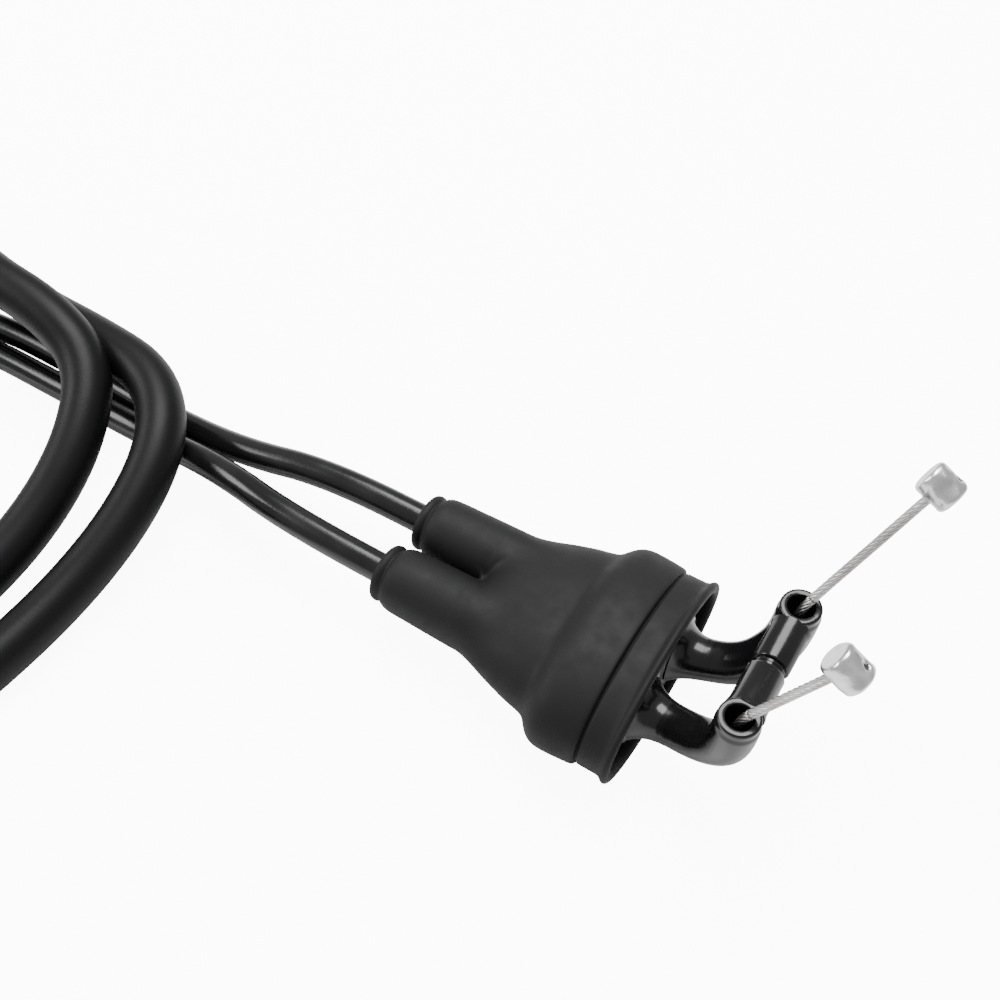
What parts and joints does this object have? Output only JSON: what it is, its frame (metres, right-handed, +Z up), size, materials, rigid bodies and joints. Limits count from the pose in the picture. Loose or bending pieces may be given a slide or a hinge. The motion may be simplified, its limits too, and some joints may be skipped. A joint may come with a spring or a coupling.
{
  "type": "twin throttle cable set",
  "caption": "Twin push-pull motorcycle throttle cables: rubber boot, two plastic elbows with barrel nipples, hoses over the casings and threaded adjusters at the far ends.",
  "frame": {"origin": "centre of the elbows' flange face, on the boot's axis at its mouth", "axes": "+X out of the boot's mouth along its axis; +Y from the pull cable to the return cable, along the locating bar; +Z up, the way the elbows' outlets point"},
  "size_m": [0.2583, 0.1487, 0.0501],
  "materials": {
    "boot_rubber": "matt moulded black rubber",
    "elbow_plastic": "glossy moulded black plastic",
    "casing_plastic": "smooth extruded black plastic over a steel spiral",
    "hose_rubber": "satin extruded black rubber",
    "wire_steel": "stranded galvanised steel wire",
    "nipple_metal": "bright die-cast alloy",
    "plated_steel": "zinc-plated turned steel",
    "seal_rubber": "soft black rubber",
    "tie_plastic": "black nylon strap"
  },
  "bodies": {
    "root": {"coil_tie": "tie_plastic", "pull_elbow": "elbow_plastic", "pull_elbow_ferrule": "plated_steel", "pull_elbow_wire": "wire_steel", "pull_throttle_wire": "wire_steel", "pull_casing": "casing_plastic", "pull_hose": "hose_rubber", "pull_far_ferrule": "plated_steel", "pull_adjuster": "plated_steel", "pull_dust_seal": "seal_rubber", "return_elbow": "elbow_plastic", "return_elbow_ferrule": "plated_steel", "return_elbow_wire": "wire_steel", "return_throttle_wire": "wire_steel", "return_casing": "casing_plastic", "return_hose": "hose_rubber", "return_far_ferrule": "plated_steel", "return_adjuster": "plated_steel", "return_dust_seal": "seal_rubber"},
    "boot": {"rubber_boot": "boot_rubber"},
    "pull_wire_end": {"pull_throttle_nipple": "nipple_metal"},
    "pull_far_end": {"pull_far_wire": "wire_steel", "pull_far_nipple": "nipple_metal"},
    "pull_lock_nut_body": {"pull_lock_nut": "plated_steel"},
    "pull_adjusting_nut_body": {"pull_adjusting_nut": "plated_steel"},
    "return_wire_end": {"return_throttle_nipple": "nipple_metal"},
    "return_far_end": {"return_far_wire": "wire_steel", "return_far_nipple": "nipple_metal"},
    "return_lock_nut_body": {"return_lock_nut": "plated_steel"},
    "return_adjusting_nut_body": {"return_adjusting_nut": "plated_steel"}
  },
  "joints": [
    {"name": "boot_slide", "type": "slide", "parent": "root", "child": "boot", "axis": [-1, 0, 0], "range_m": [0, 0.01]},
    {"name": "pull_wire_slide", "type": "slide", "parent": "root", "child": "pull_wire_end", "axis": [0.5046, 0.2231, 0.834], "range_m": [-0.012, 0], "deforming": ["pull_throttle_wire"]},
    {"name": "pull_far_slide", "type": "slide", "parent": "root", "child": "pull_far_end", "axis": [0, -1, 0], "range_m": [0, 0.012]},
    {"name": "pull_lock_nut_turn", "type": "hinge", "parent": "root", "child": "pull_lock_nut_body", "pos_m": [-0.2245, -0.055, -0.0044], "axis": [0, -1, 0], "continuous": true},
    {"name": "pull_adjusting_nut_turn", "type": "hinge", "parent": "root", "child": "pull_adjusting_nut_body", "pos_m": [-0.2245, -0.063, -0.0044], "axis": [0, -1, 0], "continuous": true},
    {"name": "return_wire_slide", "type": "slide", "parent": "root", "child": "return_wire_end", "axis": [0.3787, 0.5483, 0.7456], "range_m": [-0.017, 0], "deforming": ["return_throttle_wire"]},
    {"name": "return_far_slide", "type": "slide", "parent": "root", "child": "return_far_end", "axis": [0, -1, 0], "range_m": [0, 0.017]},
    {"name": "return_lock_nut_turn", "type": "hinge", "parent": "root", "child": "return_lock_nut_body", "pos_m": [-0.2085, -0.066, -0.0044], "axis": [0, -1, 0], "continuous": true},
    {"name": "return_adjusting_nut_turn", "type": "hinge", "parent": "root", "child": "return_adjusting_nut_body", "pos_m": [-0.2085, -0.074, -0.0044], "axis": [0, -1, 0], "continuous": true}
  ],
  "couplings": [
    {"joint": "pull_far_slide", "follows": "pull_wire_slide", "ratio": -1},
    {"joint": "return_far_slide", "follows": "return_wire_slide", "ratio": -1}
  ]
}
